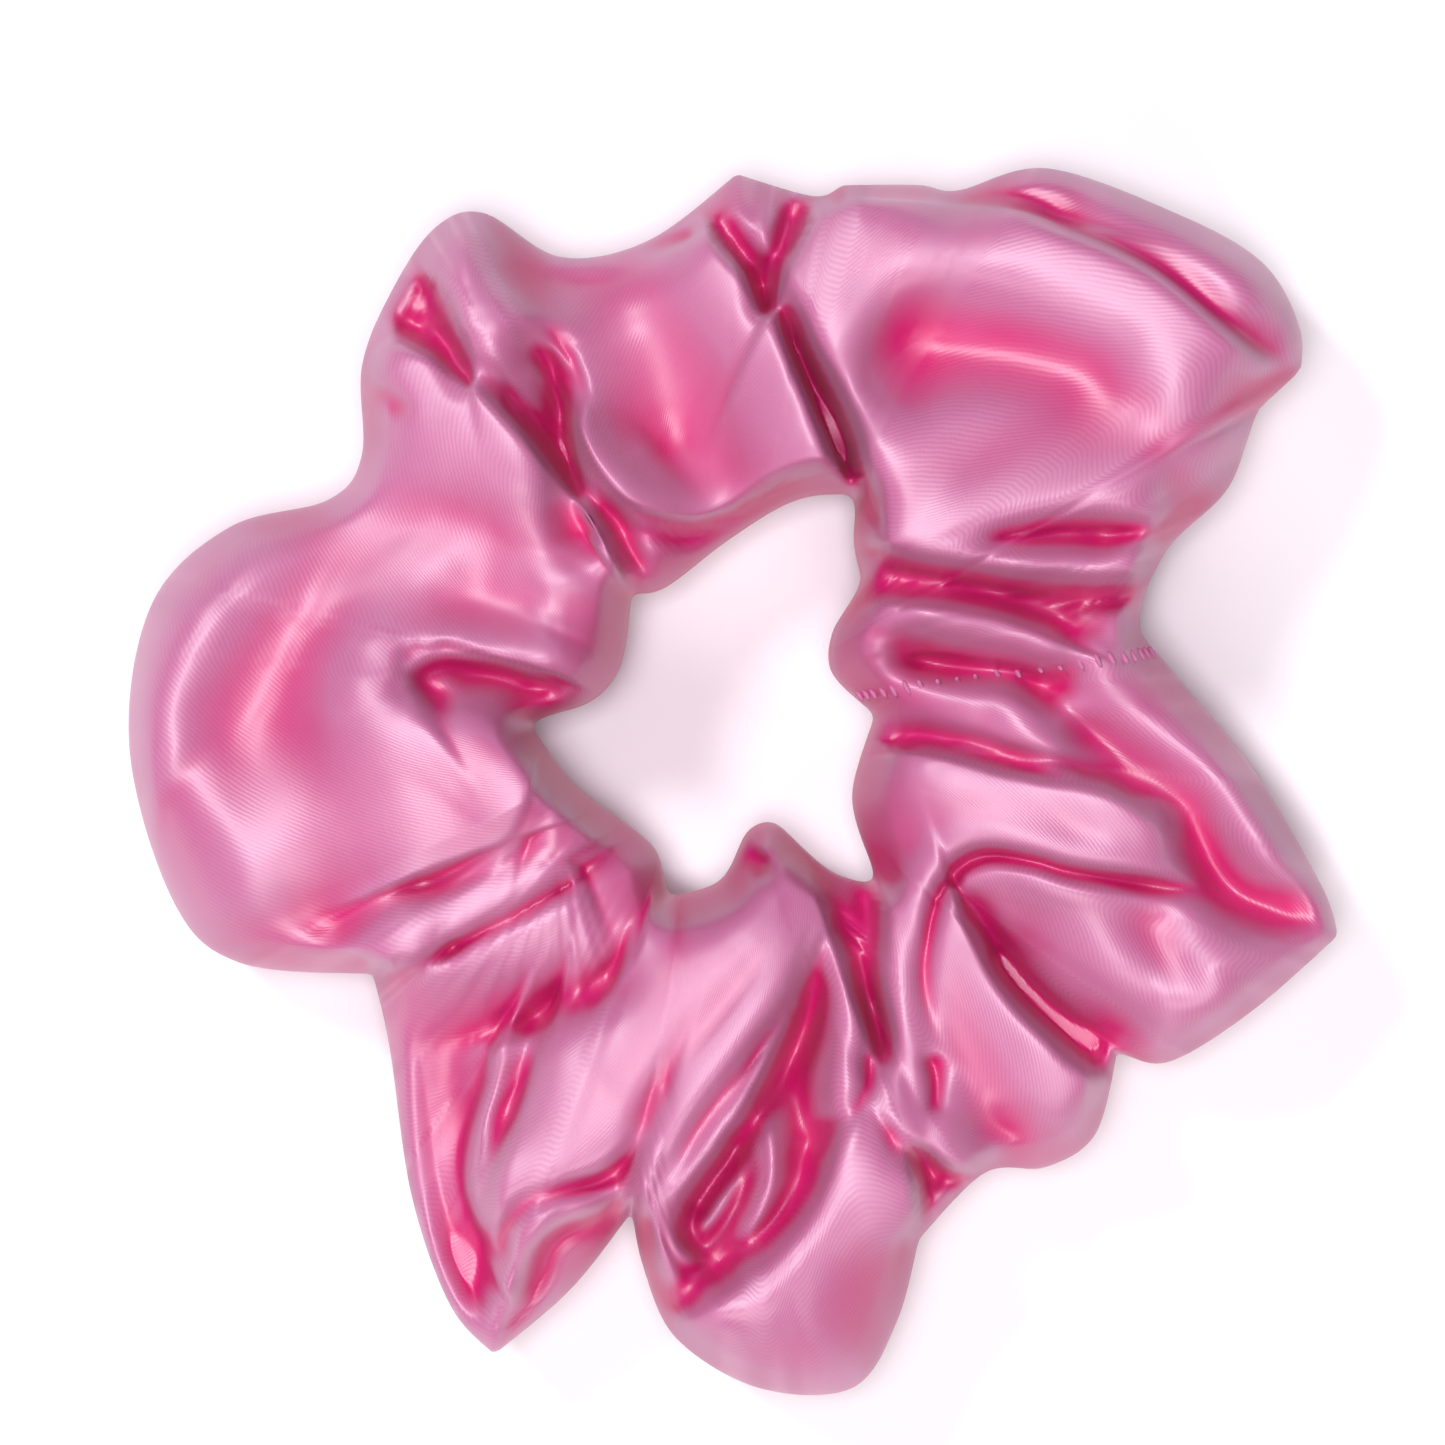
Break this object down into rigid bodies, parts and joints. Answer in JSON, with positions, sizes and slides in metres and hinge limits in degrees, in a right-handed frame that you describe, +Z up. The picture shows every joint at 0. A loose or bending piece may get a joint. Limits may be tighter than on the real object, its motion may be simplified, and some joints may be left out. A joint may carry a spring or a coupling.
{
  "type": "scrunchie",
  "caption": "Gathered satin hair tie: a sewn tube of cloth ruched on a loop of flat elastic, lying flat, that opens evenly as the elastic stretches.",
  "frame": {"origin": "under the middle of the ring's box, on the surface it lies on", "axes": "+Z up through the opening, +X and +Y in the plane of the ring, with the closing seam on the +X side"},
  "size_m": [0.1082, 0.1114, 0.03],
  "materials": {
    "satin": "satin",
    "thread": "matte",
    "elastic": "matte"
  },
  "bodies": {
    "puff_1": {"cover_puff_1": "satin", "seam_thread_1": "thread", "closing_stitches": "thread", "elastic_band": "elastic", "elastic_stitches": "thread"},
    "puff_2": {"cover_puff_2": "satin", "seam_thread_2": "thread"},
    "puff_3": {"cover_puff_3": "satin", "seam_thread_3": "thread"},
    "puff_4": {"cover_puff_4": "satin", "seam_thread_4": "thread"},
    "puff_5": {"cover_puff_5": "satin", "seam_thread_5": "thread"},
    "puff_6": {"cover_puff_6": "satin", "seam_thread_6": "thread"},
    "puff_7": {"cover_puff_7": "satin", "seam_thread_7": "thread"},
    "puff_8": {"cover_puff_8": "satin", "seam_thread_8": "thread"},
    "sewn_in_end": {"tucked_end": "satin"}
  },
  "joints": [
    {"name": "stretch_1", "type": "slide", "parent": "puff_1", "child": "puff_2", "axis": [-0.4924, 0.8704, 0], "range_m": [0, 0.014], "stiffness_N_per_m": 250, "deforming": ["elastic_band"]},
    {"name": "stretch_2", "type": "slide", "parent": "puff_2", "child": "puff_3", "axis": [-0.9636, 0.2672, 0], "range_m": [0, 0.014], "stiffness_N_per_m": 250},
    {"name": "stretch_3", "type": "slide", "parent": "puff_3", "child": "puff_4", "axis": [-0.8704, -0.4924, 0], "range_m": [0, 0.014], "stiffness_N_per_m": 250},
    {"name": "stretch_4", "type": "slide", "parent": "puff_4", "child": "puff_5", "axis": [-0.2672, -0.9636, 0], "range_m": [0, 0.014], "stiffness_N_per_m": 250},
    {"name": "stretch_5", "type": "slide", "parent": "puff_5", "child": "puff_6", "axis": [0.4924, -0.8704, 0], "range_m": [0, 0.014], "stiffness_N_per_m": 250},
    {"name": "stretch_6", "type": "slide", "parent": "puff_6", "child": "puff_7", "axis": [0.9636, -0.2672, 0], "range_m": [0, 0.014], "stiffness_N_per_m": 250},
    {"name": "stretch_7", "type": "slide", "parent": "puff_7", "child": "puff_8", "axis": [0.8704, 0.4924, 0], "range_m": [0, 0.014], "stiffness_N_per_m": 250},
    {"name": "stretch_8", "type": "slide", "parent": "puff_8", "child": "sewn_in_end", "axis": [0.2672, 0.9636, 0], "range_m": [0, 0.014], "stiffness_N_per_m": 250}
  ],
  "couplings": [
    {"joint": "stretch_2", "follows": "stretch_1", "ratio": 1},
    {"joint": "stretch_3", "follows": "stretch_1", "ratio": 1},
    {"joint": "stretch_4", "follows": "stretch_1", "ratio": 1},
    {"joint": "stretch_5", "follows": "stretch_1", "ratio": 1},
    {"joint": "stretch_6", "follows": "stretch_1", "ratio": 1},
    {"joint": "stretch_7", "follows": "stretch_1", "ratio": 1},
    {"joint": "stretch_8", "follows": "stretch_1", "ratio": 1}
  ]
}
